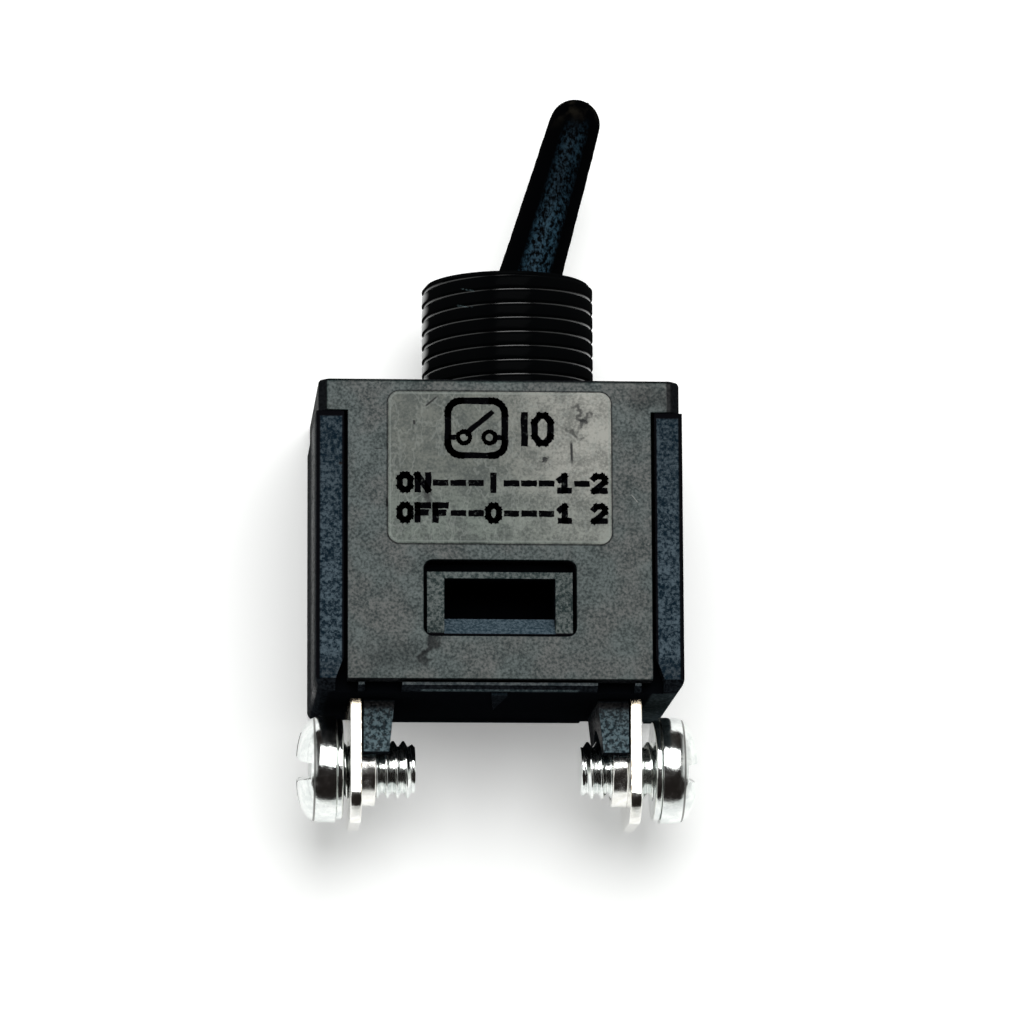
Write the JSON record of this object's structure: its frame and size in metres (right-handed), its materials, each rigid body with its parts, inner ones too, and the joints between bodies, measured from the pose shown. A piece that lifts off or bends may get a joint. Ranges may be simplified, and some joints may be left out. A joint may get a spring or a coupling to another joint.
{
  "type": "angle grinder toggle switch",
  "caption": "Black plastic panel-mount toggle switch with a threaded bushing, leaning round lever, snap-fit body and screw terminals on tabs.",
  "frame": {"origin": "on the bushing's axis, on the cover's panel seat, at the middle of the body's depth", "axes": "+Y along the bushing towards the lever, +Z out of the labelled face, +X to the right seen from the labelled face; it lies on its back"},
  "size_m": [0.0278, 0.0518, 0.0171],
  "materials": {
    "cover_plastic": "satin moulded",
    "base_plastic": "fine grain moulded",
    "lever_plastic": "smooth moulded",
    "label_film": "satin film",
    "plated_steel": "bright zinc plated",
    "plated_brass": "bright nickel plated",
    "pin_steel": "ground",
    "spring_steel": "drawn wire",
    "natural_nylon": "moulded",
    "copper_strip": "rolled",
    "contact_silver": "silver faced"
  },
  "bodies": {
    "housing": {"cover": "cover_plastic", "base": "base_plastic", "rating_label": "label_film", "common_terminal": "plated_brass", "load_terminal": "plated_brass", "fixed_contact": "contact_silver"},
    "toggle": {"lever": "lever_plastic", "pivot_pin": "pin_steel", "lever_spring": "spring_steel"},
    "follower": {"plunger": "natural_nylon"},
    "rocker": {"rocker_arm": "copper_strip", "moving_contact": "contact_silver"},
    "left_clamp": {"washer_left": "plated_steel"},
    "left_screw": {"screw_left": "plated_steel"},
    "right_clamp": {"washer_right": "plated_steel"},
    "right_screw": {"screw_right": "plated_steel"}
  },
  "joints": [
    {"name": "lever_swing", "type": "hinge", "parent": "housing", "child": "toggle", "pos_m": [0, 0.0035, 0], "axis": [0, 0, 1], "range_deg": [0, 32.6]},
    {"name": "plunger_slide", "type": "slide", "parent": "toggle", "child": "follower", "axis": [0.2807, 0.9598, 0], "range_m": [0, 0.0008], "stiffness_N_per_m": 1200, "springref_m": -0.0025, "deforming": ["lever_spring"]},
    {"name": "rocker_tilt", "type": "hinge", "parent": "housing", "child": "rocker", "pos_m": [0, -0.0085, 0], "axis": [0, 0, 1], "range_deg": [-16, 0]},
    {"name": "left_clamp_travel", "type": "slide", "parent": "housing", "child": "left_clamp", "axis": [-1, 0, 0], "range_m": [-0.0003, 0.0028]},
    {"name": "left_screw_turn", "type": "hinge", "parent": "left_clamp", "child": "left_screw", "pos_m": [-0.012, -0.0259, 0], "axis": [-1, 0, 0], "range_deg": [-155, 1441]},
    {"name": "right_clamp_travel", "type": "slide", "parent": "housing", "child": "right_clamp", "axis": [1, 0, 0], "range_m": [-0.00095, 0.0021]},
    {"name": "right_screw_turn", "type": "hinge", "parent": "right_clamp", "child": "right_screw", "pos_m": [0.01, -0.0259, 0], "axis": [1, 0, 0], "range_deg": [-490, 1081]}
  ],
  "couplings": [
    {"joint": "rocker_tilt", "follows": "lever_swing", "ratio": -0.4908},
    {"joint": "left_screw_turn", "follows": "left_clamp_travel", "rad_per_m": 8976},
    {"joint": "right_screw_turn", "follows": "right_clamp_travel", "rad_per_m": 8976}
  ]
}
